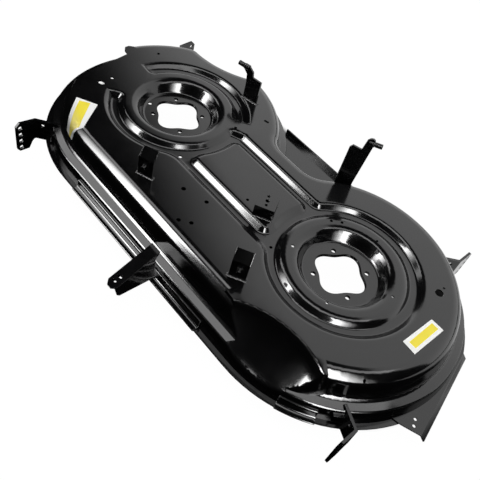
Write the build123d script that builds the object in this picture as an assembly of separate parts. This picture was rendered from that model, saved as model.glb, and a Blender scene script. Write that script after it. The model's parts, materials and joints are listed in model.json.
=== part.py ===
"""Pressed twin-spindle side-discharge mower deck with its welded brackets, in millimetres.

Every piece is drawn from the point midway between the spindles on the plane of the bottom rim, with
+X along the deck away from the discharge end, -Y to the front of the machine and +Z up. The files
are written with the origin moved to the centre of the discharge spindle seat, on its recess floor.
"""
import math
import os

from build123d import *

# Pressing
SPINDLE_PITCH = 480.0
SHEET = 2.5
TOP_Z = 86.0
FLOOR_Z = 62.0
S1 = (-SPINDLE_PITCH / 2, 0.0)
S2 = (SPINDLE_PITCH / 2, 0.0)
LOBE_SHIFT = 8.0          # discharge lobe sits further out than its spindle
C1 = (S1[0] - LOBE_SHIFT, 0.0)
C2 = S2

# Wall section: radius from the lobe centres against height, sharp corners
SECTION = [(217.0, 86.0), (227.0, 37.0), (246.5, 31.0), (251.5, 0.0)]
RIM_WIDTH = 9.5           # turned-out rim beyond the skirt
R_RIM = SECTION[3][0] + RIM_WIDTH
FILLET_TOP = 26.0
FILLET_COVE = 10.0
FILLET_LEDGE = 5.0
NOTCH_Y = 109.0           # rear notch, bottom of the top face
NOTCH_R = 60.0
DENT_C = (-378.0, 357.0)  # hollow in the rear wall beside the discharge
DENT_R = 195.0
DENT_EDGE_R = 30.0

# Wheel clearance at the front of the far lobe
DISH_C = (302.0, -356.0)
DISH_ARC = (82.0, 123.0, 107.5)    # section of the scoop: centre from its axis, height, radius
FILLET_DISH = 5.0
BULGE = [(150.0, -222.0), (194.0, -226.0), (229.0, -232.0), (260.0, -236.5), (289.0, -237.0),
         (312.0, -231.5), (335.0, -222.0), (358.0, -207.0), (385.0, -176.0)]

# Spindle seats and the belt track round them, each radius built up from the bolt circle
SPINDLE_BOLT_R = 51.2
SPINDLE_BOLT_D = 9.0
SPINDLE_TURN = 57.5       # angle of the first bolt
SPINDLE_OPENING = (SPINDLE_BOLT_R - 4.6, 5.4)     # mean radius and depth of the four-lobed opening
SEAT_MARGIN = 20.8
RECESS_FLARE = 13.0
RING_WIDTH = 27.0
TRACK_WIDTH = 35.0
RECESS_R = (SPINDLE_BOLT_R + SEAT_MARGIN + RECESS_FLARE, SPINDLE_BOLT_R + SEAT_MARGIN)
PLATEAU_R = RECESS_R[0] + RING_WIDTH
TRACK_R = PLATEAU_R + TRACK_WIDTH
TRACK_DEPTH = 10.0
TRACK_TAPER = 48.0
TRACK_Y = (-99.0, 66.5)
CHANNEL_W = (34.0, 31.0)
ISLAND_Y = (TRACK_Y[0] + CHANNEL_W[0], TRACK_Y[1] - CHANNEL_W[1])
ISLAND_X = SPINDLE_PITCH / 2 - TRACK_R + 7.0
LANDS = ((175.0, 222.0), (27.0, 41.0))    # sectors where the discharge ring runs on into the top face
FILLET_TRACK = (12.0, 8.0)    # brink and floor
FILLET_RING = 20.0
FILLET_RECESS = (20.0, 7.0)

# Openings in the pressing
WINDOW_Z = 42.0           # discharge window is open above this level
WINDOW = [(-433.4, 5.0), (-396.0, -204.0), (-396.0, -290.0), (-560.0, -290.0), (-560.0, 33.0),
          (-444.0, 33.0), (-444.0, 5.0)]
EAR = [(-425.0, 2.0), (-448.0, 7.0), (-457.0, 14.0), (-457.0, 24.0), (-450.0, 33.0), (-425.0, 36.0)]
EAR_HOLE = (-440.0, 17.0)
HOLES = [(-376, -72, 7), (-406, 67, 7), (-132, 62, 7), (-48, -135, 9), (-1, -119, 8), (7, -188, 8),
         (24, -173, 8), (33, -49, 6), (-126, -82, 7), (135, -80, 6), (377, 105, 16), (376, 121, 5),
         (409, -133, 5), (-297, -30, 8), (158, -51, 6), (154, 55, 6), (168, 70, 6), (235, 96, 5),
         (334, 24, 5), (277, -85, 5)]
SLOTS = [(-372, -100, 14, 10, 20), (-329, -96, 16, 6, 35), (-116, 135, 12, 6, 15)]

# Spindle doublers under the recess floors
DOUBLER_T = 3.0
DOUBLER_R = RECESS_R[1] - 10.0

# Strips welded to the skirt
STRIP_T = 3.0
STRIP_TOP = 27.0
STRIP_LAP = 3.5           # strip foot beyond the rim
FRONT_STRIP_X = (-212.0, 163.0)
END_STRIP_ARC = (293.0, 308.0)

# Front hanger: folded channel, sections (y, left, right, splay left, splay right, top, bottom)
HANGER_T = 3.0
HANGER_ROOT = (-215.0, -8.0, 16.0, -14.0, 40.0, 37.0, 2.0)
HANGER_TIP = (-342.0, 20.5, 44.5, 18.5, 46.5, 37.0, 17.0)
HANGER_SLOTS = [(27.0, -329.0), (25.5, -317.0)]

# Wheel brackets: foot angle on the lobe, position of the upright bend, side the plate runs to
WHEEL_T = 5.0
WHEEL_ARM_Z = (-9.0, 38.0)
WHEEL_PLATE_Z = (-29.0, 41.0)
WHEEL_PLATE_W = 42.0
WHEEL_HOLES_Z = (28.0, 12.0, -4.0, -20.0)
WHEEL_HOLE_D = 9.0
WHEEL_BRACKETS = {
    "wheel_bracket_front_discharge": (C1, 245.0, (-382.0, -245.0), -1),
    "wheel_bracket_front_far": (C2, 317.0, (452.0, -179.0), -1),
    "wheel_bracket_rear_discharge": (C1, 136.5, (-466.0, 182.0), 1),
    "wheel_bracket_rear_far": (C2, 72.0, (346.0, 256.0), 1),
}

# Lift brackets on the top: base line ends, outline across and above the top face, pin
LIFT_T = 4.0
LIFT_1 = ((-204.0, 146.4), (-170.7, 153.6))
LIFT_1_OUTLINE = [(0, -40), (35, -40), (34, 54), (12, 55), (10, 66), (-3, 76), (-12, 76), (-12, 63),
                  (-4, 56), (-1, 34)]
LIFT_1_PIN = (-12.0, 70.0, -1)    # edge it stands on, height above the top face, direction
LIFT_2 = ((73.0, 157.7), (101.7, 175.5))
LIFT_2_OUTLINE = [(0, -42), (34, -42), (34, -5), (40.5, 90), (40.5, 106), (37, 109), (31, 108), (26, 102),
                  (23, 78), (5, 81), (0, 74)]
LIFT_2_PIN = (40.5, 98.0, 1)
PIN_D = 10.0
PIN_FREE = 14.0           # length of pin beyond its collar
PIN_COLLAR = (12.0, 11.0) # diameter and length of the collar slotted over the plate
PIN_NECK = (8.0, 1.0)     # relief between collar and pin

# Rear bridge over the notch and guard beside the far lobe
BRIDGE_T = 2.5
BRIDGE_X = (-128.0, 122.0)
BRIDGE_Y = (150.0, 236.0)
BRIDGE_FLANGE = 14.0
GUARD_T = 2.5
GUARD = [(440.0, 150.0), (472.0, 115.0), (520.0, -77.0), (488.0, -90.0), (440.0, -100.0)]
GUARD_FLANGE = 9.0
GUARD_HOLES = [(497.0, -62.0), (503.0, -73.0)]

# Stop brackets: base line ends on the top face, height of the upright, reach of the bent head
STOP_T = 4.0
STOP_H = 40.0
STOP_HEAD = 16.0
STOP_1 = ((-123.0, -184.0), (-95.0, -172.0))
STOP_2 = ((144.0, -190.0), (170.0, -174.0))
SADDLE_BASE = ((64.0, -66.0), (96.0, -47.0))
SADDLE_H = 26.0
SADDLE_DEPTH = 41.0
SADDLE_T = 3.0
NUT_AF = 13.0
NUT_L = 6.0

# Labels, plain fields
LABEL_T = 0.4
LABEL_FRONT = [(-353.0, -169.0), (-315.0, -145.0), (-271.0, -204.0), (-295.0, -235.0)]
LABEL_END = [(401.0, -31.0), (403.0, 47.0), (429.0, 47.0), (428.0, -33.0)]


def offset_section(d):
    """Corners of the wall section moved inward by d, and the level of the top face."""
    pts = [(150.0, SECTION[0][1])] + SECTION + [(SECTION[3][0] + 5.0 * 5 / 31, -31.0)]
    lines = []
    for (r0, z0), (r1, z1) in zip(pts[:-1], pts[1:]):
        n = math.hypot(r1 - r0, z1 - z0)
        nr, nz = (z1 - z0) / n, -(r1 - r0) / n
        lines.append((nr, nz, nr * r0 + nz * z0 + d))
    out = []
    for (a, b, c), (e, f, g) in zip(lines[:-1], lines[1:]):
        k = a * f - b * e
        if abs(k) > 1e-6:
            out.append(((c * f - b * g) / k, (a * g - c * e) / k))
    return out


def lobes(r):
    """Plan outline of the pressing at the level whose lobe radius is r."""
    grow = r - SECTION[0][0]
    top = NOTCH_Y + grow
    bar = Pos((C1[0] + C2[0]) / 2, (top - r) / 2) * Rectangle(C2[0] - C1[0], top + r)
    plan = Pos(*C1) * Circle(r) + Pos(*C2) * Circle(r) + bar
    plan -= Pos(*DENT_C) * Circle(DENT_R - grow)
    face = plan.faces()[0]
    notch = [v for v in face.vertices() if abs(v.Y - top) < 0.01 and -100 < v.X < 100]
    face = face.fillet_2d(NOTCH_R - grow, notch)
    dent = [v for v in face.vertices()
            if abs(math.dist((v.X, v.Y), DENT_C) - (DENT_R - grow)) < 0.01 and v.Y > 120]
    return face.fillet_2d(DENT_EDGE_R + grow, dent)


def frustum(low, high):
    """Tapered slab of the outline between two corners (radius, level) of the wall section."""
    face = Pos(0, 0, low[1]) * lobes(low[0])
    taper = math.degrees(math.atan2(low[0] - high[0], high[1] - low[1]))
    return extrude(face, high[1] - low[1], dir=(0, 0, 1), taper=taper)


def at_level(part, z):
    return part.edges().filter_by(lambda e: abs(e.bounding_box().min.Z - z) < 0.02
                                  and abs(e.bounding_box().max.Z - z) < 0.02)


def blank(d):
    """Body of the pressing without track or recesses, inset by d."""
    corners = offset_section(d)
    top, wall, ledge, skirt = corners[:4] if d == 0 else corners[:3] + [corners[-1]]
    foot = (SECTION[3][0], 0.0) if d == 0 else (ledge[0] + (ledge[1] + 3.0) * 5 / 31, -3.0)
    body = frustum(wall, top) + frustum(ledge, wall) + frustum(foot, ledge)
    body = fillet(at_level(body, top[1]), FILLET_TOP - d)
    body = fillet(at_level(body, wall[1]), FILLET_COVE + d)
    body = fillet(at_level(body, ledge[1]), FILLET_LEDGE - d)
    return body


def inset_points(pts, d):
    """Points of an outline run in the sense of increasing x, moved inward by d."""
    out = []
    for i, p in enumerate(pts):
        q, r = pts[max(i - 1, 0)], pts[min(i + 1, len(pts) - 1)]
        n = math.dist(q, r)
        out.append((p[0] - d * (r[1] - q[1]) / n, p[1] + d * (r[0] - q[0]) / n))
    return out


def wheel_clearance(body, d):
    """Swell the front of the far lobe, then cut the round scoop that clears the front wheel."""
    lean = math.atan2(SECTION[1][0] - SECTION[0][0], SECTION[0][1] - SECTION[1][1])
    low = SECTION[2][1] - d - 1.0
    pts = inset_points(BULGE, d / math.cos(lean) - d * math.tan(lean))
    swell = make_face([Spline(*pts), Polyline(pts[-1], (300.0, -110.0), (170.0, -150.0), pts[0])])
    body += extrude(Pos(0, 0, low) * swell, TOP_Z - d - low, dir=(0, 0, 1), taper=math.degrees(lean))
    s, z, r = DISH_ARC[0], DISH_ARC[1], DISH_ARC[2] + d
    top = TOP_Z + 12.0
    arc = [(s + r * math.sin(a), z - r * math.cos(a))
           for a in (math.acos((z - top) / r) * k for k in (1.0, 0.5, 0.0))]
    half = make_face([ThreePointArc(*arc), Polyline(arc[2], (0.0, z - r), (0.0, top), arc[0])])
    body -= Pos(*DISH_C) * revolve(Plane.XZ * half, Axis.Z)

    def on_scoop(p):
        return abs(math.hypot(math.dist((p.X, p.Y), DISH_C) - s, p.Z - z) - r) < 0.05

    brim = [e for e in body.edges() if all(on_scoop(e.position_at(k)) for k in (0.1, 0.5, 0.9))]
    return fillet(brim, FILLET_DISH - d)


def track_hollow(g):
    """Outline of the belt track as one filled hollow, grown by g."""
    y0, y1 = TRACK_Y[0] - g, TRACK_Y[1] + g
    r = TRACK_R + g
    bar = Pos(0, (y0 + y1) / 2) * Rectangle(SPINDLE_PITCH, y1 - y0)
    face = (Pos(*S1) * Circle(r) + Pos(*S2) * Circle(r) + bar).faces()[0]
    for x_side, y, radius in ((-1, y1, 14.0), (1, y1, 12.0), (-1, y0, 45.0), (1, y0, 30.0)):
        pick = [v for v in face.vertices() if abs(v.Y - y) < 0.01 and v.X * x_side > 60]
        face = face.fillet_2d(radius - g, pick)
    return face


def plateau(centre, g, lands=()):
    """Raised ring outline round a spindle, joined to the top face by sectors where there are lands."""
    r = PLATEAU_R - g
    face = (Pos(*centre) * Circle(r)).faces()[0]
    far = TRACK_R + 40.0
    for land in lands:
        a0, a1 = (math.radians(a) for a in land)
        pts = [centre] + [(centre[0] + far * math.cos(a), centre[1] + far * math.sin(a))
                          for a in (a0, (a0 + a1) / 2, a1)]
        face = (face + make_face(Polyline(*pts, close=True))).faces()[0]
    near = [v for v in face.vertices() if abs(math.dist((v.X, v.Y), centre) - r) < 0.05]
    return face.fillet_2d(15.0 + g, near) if lands else face


def island(g):
    """Raised pad between the two straight runs of the track."""
    y0, y1 = ISLAND_Y[0] + g, ISLAND_Y[1] - g
    pad = Pos(0, (y0 + y1) / 2) * Rectangle(2 * (ISLAND_X - g), y1 - y0)
    pad = pad - Pos(*S1) * Circle(TRACK_R + g) - Pos(*S2) * Circle(TRACK_R + g)
    face = pad.faces()[0]
    return face.fillet_2d(7.0, face.vertices())


def flats_at(body, z):
    """Flat faces of a body at one height, smallest first."""
    return body.faces().filter_by(lambda f: f.geom_type == GeomType.PLANE
                                  and abs(f.center().Z - z) < 0.01).sort_by(SortBy.AREA)


def press_top(body, d):
    """Press the belt track and both spindle recesses into the top face of a body inset by d."""
    z = TOP_Z - d
    t = math.radians(TRACK_TAPER)
    g = d / math.cos(t) - d * math.tan(t)
    body -= extrude(Pos(0, 0, z) * track_hollow(g), TRACK_DEPTH, dir=(0, 0, -1), taper=TRACK_TAPER)
    for face in (plateau(S1, g, LANDS), plateau(S2, g), island(g)):
        body += extrude(Pos(0, 0, z) * face, TRACK_DEPTH, dir=(0, 0, -1), taper=-TRACK_TAPER)
    lean = math.atan2(RECESS_R[0] - RECESS_R[1], TOP_Z - FLOOR_Z)
    g = d / math.cos(lean) - d * math.tan(lean)
    for c in (S1, S2):
        cone = Cone(RECESS_R[1] + g, RECESS_R[0] + g, TOP_Z - FLOOR_Z,
                    align=(Align.CENTER, Align.CENTER, Align.MIN))
        body -= Pos(c[0], c[1], FLOOR_Z - d) * cone
    floor = at_level(body, FLOOR_Z - d)
    body = fillet(floor, FILLET_RECESS[1] + d)
    rings = at_level(body, z).filter_by(lambda e: e.geom_type == GeomType.CIRCLE
                                        and abs(e.radius - RECESS_R[0] - g) < 0.05)
    body = fillet(rings, FILLET_RECESS[0] - d)
    body = fillet(at_level(body, z - TRACK_DEPTH), FILLET_TRACK[1] + d)
    ring = [e for f in flats_at(body, z)[:-1] if f.inner_wires() for e in f.outer_wire().edges()]
    body = fillet(ring, FILLET_RING - d)
    flats = flats_at(body, z)
    brink = [e for w in flats[-1].inner_wires() for e in w.edges()]
    brink += [e for f in flats[:-1] if not f.inner_wires() for e in f.outer_wire().edges()]
    brink = [e for e in brink if e.geom_type != GeomType.CIRCLE or e.length < 2 * math.pi * RECESS_R[0]]
    return fillet(brink, FILLET_TRACK[0] - d)


def prism(pts, z0, z1):
    """Upright prism of a closed plan outline between two levels."""
    return extrude(Pos(0, 0, z0) * make_face(Polyline(*pts, close=True)), z1 - z0, dir=(0, 0, 1))


def drill(x, y, d, z0, z1):
    return Pos(x, y, (z0 + z1) / 2) * Cylinder(d / 2, z1 - z0)


def spindle_opening(grow=0.0):
    """Four-lobed opening round a spindle, at the origin."""
    mean, deep = SPINDLE_OPENING
    pts = []
    for i in range(32):
        a = math.radians(SPINDLE_TURN + 360.0 * i / 32)
        r = mean + grow - deep * math.cos(4.0 * math.radians(360.0 * i / 32))
        pts.append((r * math.cos(a), r * math.sin(a)))
    return make_face(Spline(*pts, periodic=True))


def spindle_cut(centre, z0, z1, grow=0.0):
    """Cutter for the opening and the four bolts of one spindle."""
    cut = extrude(Pos(centre[0], centre[1], z0) * spindle_opening(grow), z1 - z0, dir=(0, 0, 1))
    for i in range(4):
        a = math.radians(SPINDLE_TURN + 90.0 * i)
        cut += drill(centre[0] + SPINDLE_BOLT_R * math.cos(a),
                     centre[1] + SPINDLE_BOLT_R * math.sin(a), SPINDLE_BOLT_D, z0, z1)
    return cut


def rimmed_body():
    """Outer form of the pressing as a solid, with the turned-out rim."""
    body = press_top(wheel_clearance(blank(0.0), 0.0), 0.0)
    body += extrude(lobes(R_RIM), SHEET, dir=(0, 0, 1))
    return body


def deck_shell(outer):
    """Sheet pressing: outer form less inner form, with window, ear, spindle openings and holes."""
    inner = press_top(wheel_clearance(blank(SHEET), SHEET), SHEET)
    shell = outer - inner - prism(WINDOW, WINDOW_Z, TOP_Z + 5.0)
    ear = prism(EAR, TOP_Z - SHEET, TOP_Z)
    shell += ear - drill(*EAR_HOLE, 7.0, 0.0, 100.0)
    for c in (S1, S2):
        shell -= spindle_cut(c, FLOOR_Z - 12.0, FLOOR_Z + 5.0)
    for x, y, d in HOLES:
        shell -= drill(x, y, d, TOP_Z - 30.0, TOP_Z + 5.0)
    for x, y, length, width, turn in SLOTS:
        slot = Pos(x, y, TOP_Z - 30.0) * Rot(0, 0, turn) * SlotOverall(length, width)
        shell -= extrude(slot, 35.0, dir=(0, 0, 1))
    return shell


def doubler(centre):
    """Plate under a recess floor that stiffens the spindle seat."""
    top = FLOOR_Z - SHEET
    plate = drill(centre[0], centre[1], 2 * DOUBLER_R, top - DOUBLER_T, top)
    return plate - spindle_cut(centre, top - 10.0, top + 5.0, grow=-1.5)


def strip_section():
    """Angle section of the skirt strips, in (radius, level)."""
    lean = (SECTION[3][0] - SECTION[2][0]) / (SECTION[2][1] - SECTION[3][1])

    def skirt(z):
        return SECTION[3][0] - lean * z
    low = SHEET + 3.5
    return [(skirt(low), low), (skirt(STRIP_TOP - 6.0), STRIP_TOP - 6.0),
            (skirt(STRIP_TOP - 6.0) + STRIP_T, STRIP_TOP - 6.0), (skirt(8.0) + STRIP_T, 8.0),
            (R_RIM - STRIP_LAP, SHEET + STRIP_T), (R_RIM + STRIP_LAP, SHEET + STRIP_T),
            (R_RIM + STRIP_LAP, SHEET), (R_RIM - 5.5, SHEET)]


def front_strip():
    pts = [(0.0, -r, z) for r, z in strip_section()]
    x0, x1 = FRONT_STRIP_X
    face = Pos(x0, 0, 0) * make_face(Polyline(*pts, close=True))
    return extrude(face, x1 - x0, dir=(1, 0, 0))


def end_strip():
    pts = [(r, 0.0, z) for r, z in strip_section()]
    a0, a1 = END_STRIP_ARC
    face = Rot(0, 0, a0) * make_face(Polyline(*pts, close=True))
    return Pos(*C2) * revolve(face, Axis.Z, a1 - a0)


def channel(y, left, right, low_left, low_right, top, bottom):
    """Inverted U section of the hanger at one y."""
    t = HANGER_T
    pts = [(low_left, bottom), (left, top), (right, top), (low_right, bottom), (low_right - t, bottom),
           (right - t, top - t), (left + t, top - t), (low_left + t, bottom)]
    return make_face(Polyline(*[(x, y, z) for x, z in pts], close=True))


def front_hanger(outer, strip):
    """Tapered folded channel scribed to the front wall, with two slots near the tip."""
    arm = loft([channel(*HANGER_ROOT), channel(*HANGER_TIP)], ruled=True)
    y0, y1 = HANGER_ROOT[0], HANGER_TIP[0]
    plan = make_face(Polyline((-40.0, y0), (70.0, y0), (70.0, y1 + 30.0), (HANGER_TIP[4] + 0.5, y1 + 14.0),
                              (HANGER_TIP[2] - 8.0, y1), (HANGER_TIP[1] + 6.0, y1),
                              (HANGER_TIP[3] - 0.5, y1 + 8.0), (-40.0, y1 + 60.0), close=True))
    arm &= extrude(Pos(0, 0, -20.0) * plan, 80.0, dir=(0, 0, 1))
    for x, y in HANGER_SLOTS:
        slot = Pos(x, y, 30.0) * Rot(0, 0, 12.0) * SlotOverall(10.0, 4.5)
        arm -= extrude(slot, 20.0, dir=(0, 0, 1))
    return arm - outer - strip


def upright(p, q, t, z0, z1):
    """Upright plate of thickness t centred on the plan line p-q."""
    n = math.dist(p, q)
    turn = math.degrees(math.atan2(q[1] - p[1], q[0] - p[0]))
    box = Box(n, t, z1 - z0, align=(Align.MIN, Align.CENTER, Align.MIN))
    return Pos(p[0], p[1], z0) * Rot(0, 0, turn) * box


def wheel_bracket(centre, angle, bend, side, outer):
    """Bent plate: arm out from the skirt, upright bend, plate with a row of wheel holes."""
    a = math.radians(angle)
    root = (centre[0] + 236.0 * math.cos(a), centre[1] + 236.0 * math.sin(a))
    arm = upright(root, bend, WHEEL_T, *WHEEL_ARM_Z)
    end = side * WHEEL_PLATE_W
    z0, z1 = WHEEL_PLATE_Z
    pts = [(0.0, 0.0, z1 - 3.0), (0.0, end - side * 8.0, z1), (0.0, end, z1 - 8.0),
           (0.0, end, z0 + 6.0), (0.0, end - side * 5.0, z0), (0.0, side * 17.0, z0),
           (0.0, side * 9.0, z0 + 16.0), (0.0, side * 5.0, WHEEL_ARM_Z[0]), (0.0, 0.0, WHEEL_ARM_Z[0])]
    face = Pos(bend[0] - WHEEL_T / 2, bend[1], 0) * make_face(Polyline(*pts, close=True))
    plate = extrude(face, WHEEL_T, dir=(1, 0, 0))
    for z in WHEEL_HOLES_Z:
        hole = Rot(0, 90, 0) * Cylinder(WHEEL_HOLE_D / 2, 3 * WHEEL_T)
        plate -= Pos(bend[0], bend[1] + end - side * 9.0, z) * hole
    knuckle = drill(bend[0], bend[1], WHEEL_T, WHEEL_ARM_Z[0], WHEEL_ARM_Z[1])
    lean = (SECTION[3][0] - SECTION[2][0]) / (SECTION[2][1] - SECTION[3][1])
    low, high = SHEET + 4.0, 22.0
    sec = [(SECTION[3][0] - lean * z + dr, 0.0, z) for z, dr in ((low, 0), (high, 0), (high, 4), (low, 4))]
    foot = revolve(Rot(0, 0, angle - 3.5) * make_face(Polyline(*sec, close=True)), Axis.Z, 7.0)
    mid = ((root[0] + 2 * bend[0]) / 3, (root[1] + 2 * bend[1]) / 3)
    turn = math.degrees(math.atan2(bend[1] - root[1], bend[0] - root[0]))
    hole = Pos(mid[0], mid[1], WHEEL_ARM_Z[1] - 12.0) * Rot(0, 0, turn) * Rot(90, 0, 0) * Cylinder(4.0, 30.0)
    return arm - hole + knuckle + plate + Pos(*centre) * foot - outer


def lift_bracket(line, outline, pin, outer):
    """Plate standing on the rear of the top, cut to a prong, and the pin slotted over its edge."""
    p, q = line
    turn = math.degrees(math.atan2(q[1] - p[1], q[0] - p[0]))
    place = Pos(p[0], p[1], TOP_Z) * Rot(0, 0, turn)
    face = Pos(0, LIFT_T / 2, 0) * make_face(Polyline(*[(u, 0.0, h) for u, h in outline], close=True))
    plate = extrude(face, LIFT_T, dir=(0, -1, 0))
    edge, height, side = pin
    stud, start = None, 1.0 - PIN_COLLAR[1]
    for diameter, length in (PIN_COLLAR, PIN_NECK, (PIN_D, PIN_FREE)):
        rod = Pos(start + length / 2, 0, 0) * Rot(0, 90, 0) * Cylinder(diameter / 2, length)
        stud = stud + rod if stud else rod
        start += length
    stud = Pos(edge, 0, height) * Rot(0, 0, 0 if side > 0 else 180) * stud - plate
    return place * plate - outer, place * stud


def rear_bridge(outer):
    """Plate on the rim that closes the rear notch, with an upturned rear flange."""
    x0, x1 = BRIDGE_X
    y0, y1 = BRIDGE_Y
    z0 = SHEET
    plate = prism([(x0, y0), (x1, y0), (x1, y1), (x0, y1)], z0, z0 + BRIDGE_T)
    plate += prism([(x0, y1 - BRIDGE_T), (x1, y1 - BRIDGE_T), (x1, y1), (x0, y1)], z0, z0 + BRIDGE_FLANGE)
    return plate - outer


def side_guard(outer):
    """Plate on the rim beside the far lobe, its outer edge folded down."""
    plate = prism(GUARD, SHEET, SHEET + GUARD_T)
    (x0, y0), (x1, y1) = GUARD[1], GUARD[2]
    n = math.dist(GUARD[1], GUARD[2])
    turn = math.degrees(math.atan2(y1 - y0, x1 - x0))
    f, t = GUARD_FLANGE, GUARD_T
    sec = [(0, 0, SHEET), (0, 0, SHEET + t), (0, 1.0, SHEET + t), (0, f + 1.5, SHEET + t - f), (0, f, SHEET - f)]
    lip = extrude(make_face(Polyline(*sec, close=True)), n, dir=(1, 0, 0))
    plate += Pos(x0, y0, 0) * Rot(0, 0, turn) * lip
    for x, y in GUARD_HOLES:
        plate -= drill(x, y, 6.0, -20.0, 20.0)
    return plate - outer


def stop_bracket(line, outer):
    """Upright plate on the top with its head bent back; returns the plate and a nut on its face."""
    p, q = line
    n = math.dist(p, q)
    turn = math.degrees(math.atan2(q[1] - p[1], q[0] - p[0]))
    t, h, k = STOP_T, STOP_H, STOP_HEAD
    sec = [(0, 0, -20), (0, 0, h), (0, k, h + k), (0, k + 0.7 * t, h + k - 0.7 * t), (0, t, h - 0.4 * t),
           (0, t, -20)]
    place = Pos(p[0], p[1], TOP_Z) * Rot(0, 0, turn)
    plate = extrude(make_face(Polyline(*sec, close=True)), n, dir=(1, 0, 0))
    mid = Pos(n / 2, 0, h - 13.0) * Rot(90, 0, 0)
    plate -= mid * Cylinder(4.0, 30.0)
    nut = extrude(RegularPolygon(NUT_AF / 2, 6, major_radius=False), NUT_L)
    nut += Pos(0, 0, NUT_L) * Cylinder(3.9, 5.0, align=(Align.CENTER, Align.CENTER, Align.MIN))
    nut += Cylinder(3.9, STOP_T + 4.0, align=(Align.CENTER, Align.CENTER, Align.MAX))
    return place * plate - outer, place * (mid * nut)


def saddle(outer):
    """Folded saddle on the island: top plate on a front and a rear leg."""
    p, q = SADDLE_BASE
    n = math.dist(p, q)
    turn = math.degrees(math.atan2(q[1] - p[1], q[0] - p[0]))
    t, h, k = SADDLE_T, SADDLE_H, SADDLE_DEPTH
    sec = [(0, 0, -20), (0, 0, h), (0, k, h), (0, k, -20), (0, k - t, -20), (0, k - t, h - t), (0, t, h - t),
           (0, t, -20)]
    body = extrude(make_face(Polyline(*sec, close=True)), n, dir=(1, 0, 0))
    for u, v, d in ((18.0, 20.0, 8.0), (17.0, 32.0, 6.0), (19.0, 9.0, 6.0)):
        body -= drill(u, v, d, h - 8.0, h + 8.0)
    return Pos(p[0], p[1], TOP_Z) * Rot(0, 0, turn) * body - outer


def label_front(outer):
    """Plain label wrapped over the rounded front edge of the discharge lobe."""
    skin = blank(-LABEL_T) - outer
    return skin & prism(LABEL_FRONT, SECTION[1][1] + 14.0, TOP_Z + 5.0)


def build():
    """Every piece by node name."""
    outer = rimmed_body()
    nodes = {"deck_shell": deck_shell(outer)}
    nodes["spindle_doubler_discharge"] = doubler(S1)
    nodes["spindle_doubler_far"] = doubler(S2)
    nodes["front_strip"] = front_strip()
    nodes["end_strip"] = end_strip()
    nodes["front_hanger"] = front_hanger(outer, nodes["front_strip"])
    for name, (centre, angle, bend, side) in WHEEL_BRACKETS.items():
        nodes[name] = wheel_bracket(centre, angle, bend, side, outer)
    nodes["lift_bracket_discharge"], nodes["lift_pin_discharge"] = lift_bracket(
        LIFT_1, LIFT_1_OUTLINE, LIFT_1_PIN, outer)
    nodes["lift_bracket_far"], nodes["lift_pin_far"] = lift_bracket(
        LIFT_2, LIFT_2_OUTLINE, LIFT_2_PIN, outer)
    nodes["rear_bridge"] = rear_bridge(outer)
    nodes["side_guard"] = side_guard(outer)
    nodes["stop_bracket_discharge"], nut_1 = stop_bracket(STOP_1, outer)
    nodes["stop_bracket_far"], nut_2 = stop_bracket(STOP_2, outer)
    nodes["stop_nuts"] = Compound([nut_1, nut_2])
    nodes["saddle_bracket"] = saddle(outer)
    nodes["label_front"] = label_front(outer)
    nodes["label_end"] = prism(LABEL_END, TOP_Z, TOP_Z + LABEL_T)
    return nodes


if __name__ == "__main__":
    os.makedirs("parts", exist_ok=True)
    seat = Pos(-S1[0], -S1[1], -FLOOR_Z)
    for name, piece in build().items():
        export_step(seat * piece, f"parts/{name}.step")
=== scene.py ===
"""Looks of a pressed twin-spindle mower deck: gloss paint, plain label fields, weld beads and the studio."""
from __future__ import annotations

import json
import logging
import math
from dataclasses import dataclass
from enum import Enum

import bmesh
import bpy
from mathutils import Matrix, Quaternion, Vector
from mathutils.bvhtree import BVHTree

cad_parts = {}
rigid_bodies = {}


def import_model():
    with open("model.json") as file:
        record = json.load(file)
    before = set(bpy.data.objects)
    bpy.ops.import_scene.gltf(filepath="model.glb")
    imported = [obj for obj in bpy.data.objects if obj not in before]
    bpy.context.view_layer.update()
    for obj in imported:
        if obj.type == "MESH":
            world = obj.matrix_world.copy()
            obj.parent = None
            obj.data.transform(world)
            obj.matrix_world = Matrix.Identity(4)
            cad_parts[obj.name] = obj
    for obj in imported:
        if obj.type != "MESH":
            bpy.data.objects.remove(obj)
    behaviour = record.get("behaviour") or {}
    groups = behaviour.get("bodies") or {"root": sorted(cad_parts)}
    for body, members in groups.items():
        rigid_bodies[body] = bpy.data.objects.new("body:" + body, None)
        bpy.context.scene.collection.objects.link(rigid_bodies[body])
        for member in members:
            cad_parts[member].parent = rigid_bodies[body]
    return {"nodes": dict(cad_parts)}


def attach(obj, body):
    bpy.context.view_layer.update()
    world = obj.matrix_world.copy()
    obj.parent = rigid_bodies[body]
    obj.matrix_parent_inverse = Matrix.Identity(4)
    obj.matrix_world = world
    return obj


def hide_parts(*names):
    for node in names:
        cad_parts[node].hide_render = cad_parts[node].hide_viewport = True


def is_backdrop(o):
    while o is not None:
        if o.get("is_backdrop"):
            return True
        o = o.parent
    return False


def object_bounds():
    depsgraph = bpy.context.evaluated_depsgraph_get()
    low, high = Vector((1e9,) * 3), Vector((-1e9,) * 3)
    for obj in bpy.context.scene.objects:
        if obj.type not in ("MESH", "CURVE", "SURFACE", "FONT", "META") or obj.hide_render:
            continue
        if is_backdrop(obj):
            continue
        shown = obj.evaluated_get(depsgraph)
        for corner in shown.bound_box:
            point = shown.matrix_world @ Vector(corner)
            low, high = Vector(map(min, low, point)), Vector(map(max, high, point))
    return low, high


LOG = logging.getLogger("mower_deck")
MM = 0.001
BODY = "root"
UP = Vector((0.0, 0.0, 1.0))
WHITE = (1.0, 1.0, 1.0, 1.0)

Colour = tuple[float, float, float]
Span = tuple[float, float]


class Slot(Enum):
    """Material slots of the record."""

    PAINT = "gloss_paint"
    LABEL = "label"


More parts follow.
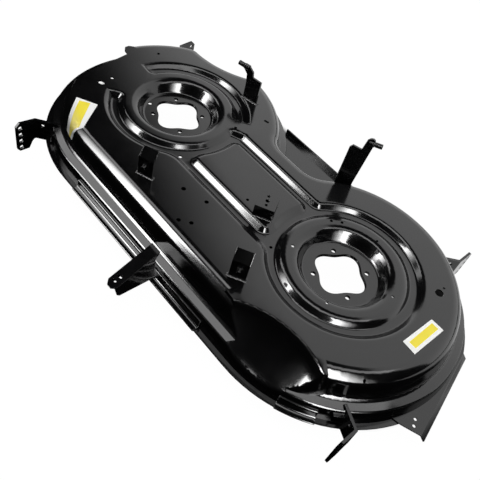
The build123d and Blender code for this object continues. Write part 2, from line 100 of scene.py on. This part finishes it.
class Edge(Enum):
    """Width, in millimetres, of the softened edges of a dressed node."""

    NONE = 0.0
    FINE = 0.5
    PLATE = 0.8


class Reach(Enum):
    """What the light of a lamp reaches."""

    ALL = "all"
    GLOSS = "gloss"
    COLOUR = "colour"


def add_node(tree: bpy.types.NodeTree, kind: str, inputs: dict[str | int, object],
             output: str | int = 0, **settings: object) -> bpy.types.NodeSocket:
    """Add a shader node, with its settings and its inputs.

    Args:
        tree: Node tree.
        kind: Node type, without the words ShaderNode.
        inputs: Sockets to link or values to set, by the name or number of the input.
        output: Name or number of the output that is wanted.
        settings: Properties of the node, set before its inputs.

    Returns:
        The wanted output.
    """
    node = tree.nodes.new(f"ShaderNode{kind}")
    for name, value in settings.items():
        setattr(node, name, value)
    for key, value in inputs.items():
        if isinstance(value, bpy.types.NodeSocket):
            tree.links.new(value, node.inputs[key])
        else:
            node.inputs[key].default_value = value
    return node.outputs[output]


def link_object(name: str, data: bpy.types.ID) -> bpy.types.Object:
    """Make an object and put it in the scene.

    Args:
        name: Name of the object.
        data: Mesh, lamp or camera.

    Returns:
        The object, at the origin.
    """
    made = bpy.data.objects.new(name, data)
    bpy.context.scene.collection.objects.link(made)
    return made


class NodeGroups:
    """Shader node groups shared by the finishes, each built once."""

    RIPPLE_DETAIL = 1.0
    MOTTLE_DETAIL = 4.0
    CLOUD_RANGE: Span = (0.35, 0.65)

    @staticmethod
    def _start(name: str, inputs: tuple[str, ...], output: str) -> bpy.types.NodeTree:
        """Open a node group with number sockets.

        Args:
            name: Name of the group.
            inputs: Names of its inputs.
            output: Name of its output.

        Returns:
            The group, without nodes.
        """
        tree = bpy.data.node_groups.new(name, "ShaderNodeTree")
        for label in inputs:
            tree.interface.new_socket(label, in_out="INPUT", socket_type="NodeSocketFloat")
        tree.interface.new_socket(output, in_out="OUTPUT", socket_type="NodeSocketFloat")
        return tree

    @classmethod
    def surface_ripple(cls) -> bpy.types.NodeTree:
        """Height of a sprayed surface: a fine peel on a broad ripple.

        Returns:
            The node group, with inputs for both scales and heights and the output Height.
        """
        name = "Surface Ripple"
        if name in bpy.data.node_groups:
            return bpy.data.node_groups[name]
        tree = cls._start(name, ("Fine Scale", "Fine Height", "Broad Scale", "Broad Height"), "Height")
        enter, leave = tree.nodes.new("NodeGroupInput"), tree.nodes.new("NodeGroupOutput")
        place = add_node(tree, "TexCoord", {}, output="Object")
        layers = []
        for kind in ("Fine", "Broad"):
            noise = add_node(tree, "TexNoise", {"Vector": place, "Scale": enter.outputs[f"{kind} Scale"],
                                                "Detail": cls.RIPPLE_DETAIL}, output="Fac")
            layers.append(add_node(tree, "Math", {0: noise, 1: enter.outputs[f"{kind} Height"]},
                                   operation="MULTIPLY"))
        height = add_node(tree, "Math", dict(enumerate(layers)), operation="ADD")
        tree.links.new(height, leave.inputs["Height"])
        return tree

    @classmethod
    def mottle(cls) -> bpy.types.NodeTree:
        """Cloudy value between two limits.

        Returns:
            The node group, with inputs Scale, Low and High and the output Value.
        """
        name = "Mottle"
        if name in bpy.data.node_groups:
            return bpy.data.node_groups[name]
        tree = cls._start(name, ("Scale", "Low", "High"), "Value")
        enter, leave = tree.nodes.new("NodeGroupInput"), tree.nodes.new("NodeGroupOutput")
        place = add_node(tree, "TexCoord", {}, output="Object")
        noise = add_node(tree, "TexNoise", {"Vector": place, "Scale": enter.outputs["Scale"],
                                            "Detail": cls.MOTTLE_DETAIL}, output="Fac")
        low, high = cls.CLOUD_RANGE
        value = add_node(tree, "MapRange", {"Value": noise, "From Min": low, "From Max": high,
                                            "To Min": enter.outputs["Low"], "To Max": enter.outputs["High"]})
        tree.links.new(value, leave.inputs["Value"])
        return tree


@dataclass(frozen=True)
class Finish:
    """A surface finish: two close colours, a roughness range and a rippled surface."""

    name: str
    dark: Colour
    light: Colour
    roughness: Span
    mottle_scale: float = 18.0
    rough_scale: float = 41.4
    fine: Span = (420.0, 0.004)
    broad: Span = (16.0, 0.05)
    bump: float = 0.5
    bump_depth: float = 1.0 * MM

    def colour(self, tree: bpy.types.NodeTree) -> bpy.types.NodeSocket:
        """Add the colour of the finish.

        Args:
            tree: Node tree of the material.

        Returns:
            Socket with the colour.
        """
        cloud = add_node(tree, "Group", {"Scale": self.mottle_scale, "Low": 0.0, "High": 1.0},
                         node_tree=NodeGroups.mottle())
        ramp = add_node(tree, "ValToRGB", {"Fac": cloud})
        for stop, colour in zip(ramp.node.color_ramp.elements, (self.dark, self.light)):
            stop.color = (*colour, 1.0)
        return ramp

    def material(self) -> bpy.types.Material:
        """Build the material, once.

        Returns:
            The material of this finish.
        """
        if self.name in bpy.data.materials:
            return bpy.data.materials[self.name]
        made = bpy.data.materials.new(self.name)
        made.use_nodes = True
        tree = made.node_tree
        low, high = self.roughness
        rough = add_node(tree, "Group", {"Scale": self.rough_scale, "Low": low, "High": high},
                         node_tree=NodeGroups.mottle())
        ripple = {"Fine Scale": self.fine[0], "Fine Height": self.fine[1],
                  "Broad Scale": self.broad[0], "Broad Height": self.broad[1]}
        height = add_node(tree, "Group", ripple, node_tree=NodeGroups.surface_ripple())
        normal = add_node(tree, "Bump", {"Strength": self.bump, "Distance": self.bump_depth,
                                         "Height": height})
        shader = tree.nodes["Principled BSDF"]
        tree.links.new(self.colour(tree), shader.inputs["Base Color"])
        tree.links.new(rough, shader.inputs["Roughness"])
        tree.links.new(normal, shader.inputs["Normal"])
        return made


@dataclass(frozen=True)
class LabelFinish(Finish):
    """Plain white vinyl with one plain bar, measured in plan from a corner of the label."""

    dark: Colour = (0.88, 0.88, 0.86)
    light: Colour = (0.92, 0.92, 0.9)
    roughness: Span = (0.45, 0.55)
    corner: Span = (0.0, 0.0)
    along: Span = (1.0, 0.0)
    bar_length: Span = (0.0, 0.0)
    bar_width: Span = (0.0, 0.0)
    bar_colour: Colour = (0.88, 0.73, 0.02)

    def _band(self, tree: bpy.types.NodeTree, direction: Vector, limits: Span) -> bpy.types.NodeSocket:
        """Mask that is 1 between two distances from the corner.

        Args:
            tree: Node tree of the material.
            direction: Unit direction in plan along which the distance is taken.
            limits: The two distances, in metres.

        Returns:
            Socket with the mask.
        """
        place = add_node(tree, "TexCoord", {}, output="Object")
        offset = add_node(tree, "VectorMath", {0: place, 1: (*self.corner, 0.0)}, operation="SUBTRACT")
        distance = add_node(tree, "VectorMath", {0: offset, 1: direction}, output="Value",
                            operation="DOT_PRODUCT")
        above = add_node(tree, "Math", {0: distance, 1: limits[0]}, operation="GREATER_THAN")
        below = add_node(tree, "Math", {0: distance, 1: limits[1]}, operation="LESS_THAN")
        return add_node(tree, "Math", {0: above, 1: below}, operation="MULTIPLY")

    def colour(self, tree: bpy.types.NodeTree) -> bpy.types.NodeSocket:
        """Add the colour of the vinyl and the bar on it.

        Args:
            tree: Node tree of the material.

        Returns:
            Socket with the colour.
        """
        along = Vector((*self.along, 0.0)).normalized()
        across = Vector((-along.y, along.x, 0.0))
        bar = add_node(tree, "Math", {0: self._band(tree, along, self.bar_length),
                                      1: self._band(tree, across, self.bar_width)}, operation="MULTIPLY")
        return add_node(tree, "Mix", {"Factor": bar, "A": super().colour(tree), "B": (*self.bar_colour, 1.0)},
                        output="Result", data_type="RGBA")


PAINT = Finish("gloss black paint", (0.0022, 0.0022, 0.0024), (0.0036, 0.0036, 0.0039), (0.11, 0.135))
WELD_PAINT = Finish("painted weld", (0.004, 0.004, 0.0043), (0.012, 0.012, 0.0127), (0.14, 0.26),
                    fine=(900.0, 0.02), broad=(220.0, 0.2))
VINYL_FRONT = LabelFinish("plain front label", corner=(-0.113, -0.169), along=(0.058, -0.066),
                          bar_length=(0.008, 0.079), bar_width=(0.008, 0.03))
VINYL_END = LabelFinish("plain end label", corner=(0.641, -0.031), along=(0.0, 1.0),
                        bar_length=(0.008, 0.072), bar_width=(-0.021, -0.007))


@dataclass
class DressedNode:
    """Finished copy of a CAD node: merged, smooth on its curves, with softened edges."""

    node: str
    edge: Edge = Edge.PLATE
    finish: Finish = PAINT
    slot: Slot = Slot.PAINT
    merge_mm: float = 0.004
    sliver_mm: float = 0.002
    sharp_deg: float = 32.0
    bevel_deg: float = 40.0
    bevel_segments: int = 2

    def _mesh(self, source: bpy.types.Mesh) -> bpy.types.Mesh:
        """Copy the node's mesh, merge it and smooth it between its sharp edges.

        Args:
            source: Mesh of the CAD node.

        Returns:
            The new mesh, with its finish.
        """
        shape = bmesh.new()
        shape.from_mesh(source)
        bmesh.ops.remove_doubles(shape, verts=shape.verts, dist=self.merge_mm * MM)
        bmesh.ops.dissolve_degenerate(shape, edges=shape.edges, dist=self.sliver_mm * MM)
        limit = math.radians(self.sharp_deg)
        for edge in shape.edges:
            edge.smooth = len(edge.link_faces) == 2 and edge.calc_face_angle(0.0) < limit
        for face in shape.faces:
            face.smooth = True
        mesh = bpy.data.meshes.new(f"{self.node}.dressed")
        shape.to_mesh(mesh)
        shape.free()
        mesh.materials.append(self.finish.material())
        return mesh

    def _soften(self, piece: bpy.types.Object) -> None:
        """Round the edges of the piece and even out its shading.

        Args:
            piece: The dressed piece.
        """
        if self.edge is not Edge.NONE:
            bevel = piece.modifiers.new("softened edges", "BEVEL")
            bevel.width = self.edge.value * MM
            bevel.segments = self.bevel_segments
            bevel.limit_method = "ANGLE"
            bevel.angle_limit = math.radians(self.bevel_deg)
            bevel.use_clamp_overlap = True
            bevel.harden_normals = False
        weighted = piece.modifiers.new("even normals", "WEIGHTED_NORMAL")
        weighted.mode = "FACE_AREA"
        weighted.keep_sharp = True

    def build(self, source: bpy.types.Object) -> None:
        """Make the piece that stands for the node.

        Args:
            source: The CAD object.
        """
        mesh = self._mesh(source.data)
        piece = link_object(f"{self.node}.dressed", mesh)
        self._soften(piece)
        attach(piece, BODY)
        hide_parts(self.node)
        LOG.info("dressed %s: %d faces", self.node, len(mesh.polygons))


PLATES = ("spindle_doubler_discharge", "spindle_doubler_far", "front_strip", "end_strip", "front_hanger",
          "wheel_bracket_front_discharge", "wheel_bracket_front_far", "wheel_bracket_rear_discharge",
          "wheel_bracket_rear_far", "lift_bracket_discharge", "lift_bracket_far", "rear_bridge", "side_guard",
          "stop_bracket_discharge", "stop_bracket_far", "saddle_bracket")
PINS_AND_NUTS = ("lift_pin_discharge", "lift_pin_far", "stop_nuts")
NODES = (
    DressedNode("deck_shell", Edge.FINE),
    *(DressedNode(name) for name in PLATES),
    *(DressedNode(name, Edge.FINE) for name in PINS_AND_NUTS),
    DressedNode("label_front", Edge.NONE, VINYL_FRONT, Slot.LABEL),
    DressedNode("label_end", Edge.NONE, VINYL_END, Slot.LABEL),
)


@dataclass(frozen=True)
class WeldedFoot:
    """Weld beads round the foot of a plate that stands on the pressing.

    Places are in millimetres in plan. Faces are the distances of the plate's two sides from the line between
    start and end. The overrun and the pitch are shares of the radius.
    """

    name: str
    start: Span
    end: Span
    faces: Span
    radius: float = 2.2
    closed: bool = True
    overrun: float = 0.6
    pitch: float = 0.8
    swell: float = 0.14
    swell_step: float = 2.4
    flattening: float = 0.75
    rings: tuple[int, int] = (12, 8)
    probe_height: float = 0.3
    least_rise: float = 0.35

    def _runs(self) -> list[tuple[Vector, Vector]]:
        """Plan lines of the beads: one along each face, and one round each end.

        Returns:
            Start and end of each line.
        """
        start, end = Vector((*self.start, 0.0)), Vector((*self.end, 0.0))
        along = (end - start).normalized()
        across = Vector((-along.y, along.x, 0.0))
        lines = [(start + across * face, end + across * face) for face in self.faces]
        if self.closed:
            beyond = along * self.radius * self.overrun
            lines += [(point + across * self.faces[0], point + across * self.faces[1])
                      for point in (start - beyond, end + beyond)]
        return lines

    def _beads(self, surface: BVHTree) -> list[Matrix]:
        """Find where the beads lie on the pressing.

        Args:
            surface: Search tree of the pressing.

        Returns:
            Place, turn and swell of each bead.
        """
        beads = []
        for first, last in self._runs():
            count = max(2, round((last - first).length / (self.radius * self.pitch)))
            for i in range(count + 1):
                over = first.lerp(last, i / count) * MM + UP * self.probe_height
                spot, normal, _, _ = surface.ray_cast(over, -UP)
                if spot is None or normal.z < self.least_rise:
                    continue
                swell = 1.0 + self.swell * math.sin(self.swell_step * i + first.x)
                turn = normal.to_track_quat("Z", "Y").to_matrix().to_4x4()
                beads.append(Matrix.Translation(spot) @ turn
                             @ Matrix.Diagonal((swell, swell, self.flattening * swell, 1.0)))
        return beads

    def build(self, surface: BVHTree) -> None:
        """Lay the beads on the pressing.

        Args:
            surface: Search tree of the pressing.
        """
        shape = bmesh.new()
        for bead in self._beads(surface):
            bmesh.ops.create_uvsphere(shape, u_segments=self.rings[0], v_segments=self.rings[1],
                                      radius=self.radius * MM, matrix=bead)
        for face in shape.faces:
            face.smooth = True
        mesh = bpy.data.meshes.new(f"{self.name}.weld")
        shape.to_mesh(mesh)
        shape.free()
        mesh.materials.append(WELD_PAINT.material())
        piece = link_object(f"{self.name}.weld", mesh)
        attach(piece, BODY)
        LOG.info("welded %s: %d faces", self.name, len(mesh.polygons))


FEET = (
    WeldedFoot("stop_bracket_discharge", (117.0, -184.0), (145.0, -172.0), (-0.8, 4.8)),
    WeldedFoot("stop_bracket_far", (384.0, -190.0), (410.0, -174.0), (-0.8, 4.8)),
    WeldedFoot("lift_bracket_discharge", (36.0, 146.4), (69.3, 153.6), (-2.8, 2.8), 2.6),
    WeldedFoot("lift_bracket_far", (313.0, 157.7), (341.7, 175.5), (-2.8, 2.8), 2.6),
    WeldedFoot("saddle_bracket", (304.0, -66.0), (336.0, -47.0), (-0.6, 41.6), 1.6, closed=False),
)


@dataclass(frozen=True, kw_only=True)
class Lamp:
    """Rectangular lamp that the camera does not see, with its angles in degrees and lengths in metres."""

    name: str
    radiance: float
    distance: float
    azimuth: float = 0.0
    lean: float = 0.0
    reach: Reach = Reach.ALL

    def hang(self, place: Vector, facing: Quaternion, size: Span) -> bpy.types.Object:
        """Put the lamp in place.

        Args:
            place: Middle of the lamp.
            facing: Turn of the lamp before its lean.
            size: Width and height.

        Returns:
            The lamp.
        """
        data = bpy.data.lights.new(self.name, "AREA")
        data.shape = "RECTANGLE"
        data.size, data.size_y = size
        data.energy = self.radiance * math.pi * size[0] * size[1]
        lamp = link_object(self.name, data)
        lamp.location = place
        lamp.rotation_mode = "QUATERNION"
        lamp.rotation_quaternion = facing @ Quaternion(UP, math.radians(self.lean))
        lamp.visible_camera = False
        lamp.visible_diffuse = self.reach is not Reach.GLOSS
        lamp.visible_glossy = self.reach is not Reach.COLOUR
        return lamp


@dataclass(frozen=True, kw_only=True)
class OverheadPanel(Lamp):
    """Level lamp above the deck, turned to its azimuth."""

    offset: Span
    size: Span

    def build(self, centre: Vector) -> None:
        """Hang the lamp.

        Args:
            centre: Middle of the deck.
        """
        place = centre + Vector((*self.offset, self.distance))
        self.hang(place, Quaternion(UP, math.radians(self.azimuth)), self.size)


@dataclass(frozen=True, kw_only=True)
class Softbox(Lamp):
    """Upright lamp, given by the part of the sky that it covers as seen from the deck."""

    spread: float
    low: float
    high: float

    def build(self, centre: Vector) -> None:
        """Hang the lamp.

        Args:
            centre: Middle of the deck.
        """
        bottom, top = (math.tan(math.radians(angle)) * self.distance for angle in (self.low, self.high))
        width = 2.0 * self.distance * math.tan(math.radians(self.spread / 2))
        turn = math.radians(self.azimuth)
        aim = Vector((math.cos(turn), math.sin(turn), 0.0))
        place = centre + aim * self.distance + UP * (bottom + top) / 2
        self.hang(place, aim.to_track_quat("Z", "Y"), (width, top - bottom))


@dataclass(frozen=True, kw_only=True)
class GradedBank(Softbox):
    """Upright lamp with slices beside it that fade to one side."""

    fade: tuple[float, ...]
    slice_deg: float

    def build(self, centre: Vector) -> None:
        """Hang the lamp and its slices.

        Args:
            centre: Middle of the deck.
        """
        super().build(centre)
        edge = self.azimuth + math.copysign(self.spread / 2, self.slice_deg)
        for i, share in enumerate(self.fade):
            piece = Softbox(name=f"{self.name} slice {i + 1}", radiance=self.radiance * share,
                            distance=self.distance, azimuth=edge + (i + 0.5) * self.slice_deg, lean=self.lean,
                            reach=self.reach, spread=abs(self.slice_deg), low=self.low, high=self.high)
            piece.build(centre)


@dataclass(frozen=True, kw_only=True)
class FadingPanel(Softbox):
    """Upright lamp that fades out to one side along a slanting line.

    The fade gives the distances across the panel, at the height of the deck, where the light starts to fall
    and where it ends. The slant is how much nearer that line comes for each metre of height.
    """

    fade: Span
    slant: float

    def hang(self, place: Vector, facing: Quaternion, size: Span) -> bpy.types.Object:
        """Put the lamp in place and let its light fade across it.

        Args:
            place: Middle of the lamp.
            facing: Turn of the lamp before its lean.
            size: Width and height.

        Returns:
            The lamp.
        """
        lamp = super().hang(place, facing, size)
        lamp.data.use_nodes = True
        tree = lamp.data.node_tree
        corner = size[0] / 2 - self.slant * (place.z - size[1] / 2)
        spot = add_node(tree, "NewGeometry", {}, output="Parametric")
        across = add_node(tree, "VectorMath", {0: spot, 1: (size[0], self.slant * size[1], 0.0)},
                          output="Value", operation="DOT_PRODUCT")
        start, end = (distance + corner for distance in self.fade)
        strength = add_node(tree, "MapRange", {"Value": across, "From Min": start, "From Max": end,
                                               "To Min": 1.0, "To Max": 0.0}, interpolation_type="SMOOTHSTEP")
        tree.links.new(strength, tree.nodes["Emission"].inputs["Strength"])
        return lamp


LAMPS = (
    GradedBank(name="key bank", azimuth=234.0, spread=12.0, low=8.0, high=52.0, radiance=34.0, distance=2.6,
               lean=12.0, reach=Reach.GLOSS, fade=(0.62, 0.36, 0.18, 0.07), slice_deg=-5.0),
    GradedBank(name="camera side bank", azimuth=326.0, spread=14.0, low=4.0, high=57.0, radiance=30.0,
               distance=2.6, reach=Reach.GLOSS, fade=(0.6, 0.34, 0.17, 0.06), slice_deg=4.5),
    OverheadPanel(name="overhead strip", radiance=4.0, distance=2.5, offset=(-1.54, -0.5), size=(4.5, 0.7)),
    OverheadPanel(name="overhead end strip", azimuth=48.0, radiance=3.4, distance=2.5, offset=(1.21, 0.28),
                  size=(1.8, 0.7)),
    OverheadPanel(name="plain fill", radiance=0.6, distance=2.5, reach=Reach.COLOUR, offset=(0.0, -0.3),
                  size=(3.0, 3.0)),
    FadingPanel(name="back panel left", azimuth=120.0, spread=72.0, low=4.0, high=64.0, radiance=1.55,
                distance=2.726, fade=(1.62, 2.81), slant=0.48),
    Softbox(name="back panel right", azimuth=57.0, spread=54.0, low=4.0, high=64.0, radiance=1.55,
            distance=3.0),
)


@dataclass
class Studio:
    """Floor, dim surroundings, lamps and the camera, in metres.

    The floor is bright to the camera but for a painted shadow below the deck, where a round painted pool
    of light lies under each spindle opening. In reflections it is dark in front of the deck; behind it the
    floor has a painted glow, though it is no lamp.
    """

    eye: tuple[float, float, float] = (0.7438, -0.6824, 0.8111)
    target: tuple[float, float, float] = (0.3260, -0.1069, 0.0)
    roll_deg: float = 17.46
    lens_mm: float = 45.56
    sensor_mm: float = 36.0
    far_clip: float = 50.0
    centre: tuple[float, float, float] = (0.24, 0.0, 0.0)
    spindle_pitch: float = 0.48
    dim: Colour = (0.004, 0.004, 0.004)
    floor_size: float = 14.0
    floor_colour: Colour = (0.02, 0.02, 0.02)
    floor_glow: float = 0.99
    # Painted shadow on the floor's glow under the deck, and painted pools of light under the spindle
    # openings.
    painted_shadow_edge: Span = (0.245, 0.265)
    painted_shadow_shift: float = 0.02
    painted_pools: tuple[Span, ...] = ((-0.042, 0.038), (0.465, 0.038))
    painted_pool_edge: Span = (0.128, 0.112)
    # Painted glow of the floor behind the deck, seen in reflections and lighting the deck, though it is no
    # lamp.
    painted_rear_glow: float = 1.0
    painted_rear_glow_edge: Span = (0.1, 0.25)

    def camera(self) -> None:
        """Place the camera of the photograph."""
        data = bpy.data.cameras.new("camera")
        data.lens = self.lens_mm
        data.sensor_width = self.sensor_mm
        data.clip_end = self.far_clip
        camera = link_object("camera", data)
        camera.rotation_mode = "QUATERNION"
        camera.location = self.eye
        look = (Vector(self.target) - Vector(self.eye)).to_track_quat("-Z", "Y")
        camera.rotation_quaternion = look @ Quaternion(UP, math.radians(self.roll_deg))
        bpy.context.scene.camera = camera

    @staticmethod
    def _rise(tree: bpy.types.NodeTree, spot: bpy.types.NodeSocket, origin: object,
              edge: Span) -> bpy.types.NodeSocket:
        """Value that goes from 0 to 1 with the distance of a floor spot from an origin.

        Args:
            tree: Node tree of the floor material.
            spot: Socket with the floor spot.
            origin: Socket or point that the distance is taken from.
            edge: Distance at which the value is 0 and distance at which it is 1.

        Returns:
            Socket with the value.
        """
        gap = add_node(tree, "VectorMath", {0: spot, 1: origin}, output="Value", operation="DISTANCE")
        return add_node(tree, "MapRange", {"Value": gap, "From Min": edge[0], "From Max": edge[1]},
                        interpolation_type="SMOOTHSTEP")

    def _glow(self, tree: bpy.types.NodeTree) -> bpy.types.NodeSocket:
        """Brightness of the floor to the camera: none in the painted shadow under the deck, full round it
        and in the painted pools of light under the spindle openings.

        Args:
            tree: Node tree of the floor material.

        Returns:
            Socket with the brightness.
        """
        place = add_node(tree, "TexCoord", {}, output="Object")
        spot = add_node(tree, "VectorMath", {0: place, 1: (1.0, 1.0, 0.0)}, operation="MULTIPLY")
        x = add_node(tree, "SeparateXYZ", {"Vector": place}, output="X")
        nearest = add_node(tree, "Clamp", {"Value": x, "Min": 0.0, "Max": self.spindle_pitch})
        axis = add_node(tree, "CombineXYZ", {"X": nearest, "Y": self.painted_shadow_shift})
        # Painted shadow: the floor's glow falls to nothing in a band round the line between the spindles.
        bright = self._rise(tree, spot, axis, self.painted_shadow_edge)
        # Painted pools of light: bright discs on the floor, inside the painted shadow, under each spindle
        # opening.
        for well in self.painted_pools:
            painted_pool = self._rise(tree, spot, (*well, 0.0), self.painted_pool_edge)
            bright = add_node(tree, "Math", {0: bright, 1: painted_pool}, operation="MAXIMUM")
        return add_node(tree, "Math", {0: bright, 1: self.floor_glow}, operation="MULTIPLY")

    def _floor_material(self) -> bpy.types.Material:
        """Build the floor's material.

        Returns:
            The material.
        """
        made = bpy.data.materials.new("pale floor")
        made.use_nodes = True
        tree = made.node_tree
        tree.nodes.clear()
        leave = tree.nodes.new("ShaderNodeOutputMaterial")
        place = add_node(tree, "TexCoord", {}, output="Object")
        y = add_node(tree, "SeparateXYZ", {"Vector": place}, output="Y")
        # Painted glow: behind the deck the floor glows to reflections and to the deck's lighting, though it
        # is no lamp.
        behind = add_node(tree, "MapRange", {"Value": y, "From Min": self.painted_rear_glow_edge[0],
                                             "From Max": self.painted_rear_glow_edge[1], "To Max": self.painted_rear_glow},
                          interpolation_type="SMOOTHSTEP")
        front = add_node(tree, "BsdfDiffuse", {"Color": (*self.dim, 1.0)})
        rear = add_node(tree, "Emission", {"Color": WHITE, "Strength": behind})
        mirrored = add_node(tree, "AddShader", {0: front, 1: rear})
        pale = add_node(tree, "BsdfDiffuse", {"Color": (*self.floor_colour, 1.0)})
        glow = add_node(tree, "Emission", {"Color": WHITE, "Strength": self._glow(tree)})
        seen = add_node(tree, "AddShader", {0: pale, 1: glow})
        to_camera = add_node(tree, "LightPath", {}, output="Is Camera Ray")
        surface = add_node(tree, "MixShader", {0: to_camera, 1: mirrored, 2: seen})
        tree.links.new(surface, leave.inputs["Surface"])
        return made

    def floor(self, level: float) -> None:
        """Lay the pale floor.

        Args:
            level: Height of the floor.
        """
        mesh = bpy.data.meshes.new("floor")
        shape = bmesh.new()
        bmesh.ops.create_grid(shape, x_segments=1, y_segments=1, size=self.floor_size / 2)
        bmesh.ops.translate(shape, verts=shape.verts, vec=(self.centre[0], self.centre[1], level))
        shape.to_mesh(mesh)
        shape.free()
        mesh.materials.append(self._floor_material())
        floor = link_object("floor", mesh)
        floor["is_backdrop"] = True

    def world(self) -> None:
        """Set the surroundings: white to the camera, a dim studio to everything else."""
        world = bpy.data.worlds.new("studio")
        bpy.context.scene.world = world
        world.use_nodes = True
        tree = world.node_tree
        tree.nodes.clear()
        leave = tree.nodes.new("ShaderNodeOutputWorld")
        cast = add_node(tree, "Background", {"Color": (*self.dim, 1.0)})
        white = add_node(tree, "Background", {"Color": WHITE})
        to_camera = add_node(tree, "LightPath", {}, output="Is Camera Ray")
        surface = add_node(tree, "MixShader", {0: to_camera, 1: cast, 2: white})
        tree.links.new(surface, leave.inputs["Surface"])

    def build(self, level: float) -> None:
        """Set up the whole studio.

        Args:
            level: Height of the floor.
        """
        self.camera()
        self.floor(level)
        self.world()
        for lamp in LAMPS:
            lamp.build(Vector(self.centre))


def main() -> None:
    """Dress every CAD node and set up the studio."""
    logging.basicConfig(level=logging.INFO, format="%(message)s")
    for spare in list(bpy.data.objects):
        bpy.data.objects.remove(spare)
    bpy.context.scene.view_settings.view_transform = "Standard"
    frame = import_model()
    cad_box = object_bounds()
    for item in NODES:
        item.build(frame["nodes"][item.node])
    shell = frame["nodes"]["deck_shell"].data
    surface = BVHTree.FromPolygons([v.co for v in shell.vertices], [p.vertices for p in shell.polygons])
    for foot in FEET:
        foot.build(surface)
    Studio().build(cad_box[0].z)


if __name__ == "__main__":
    main()
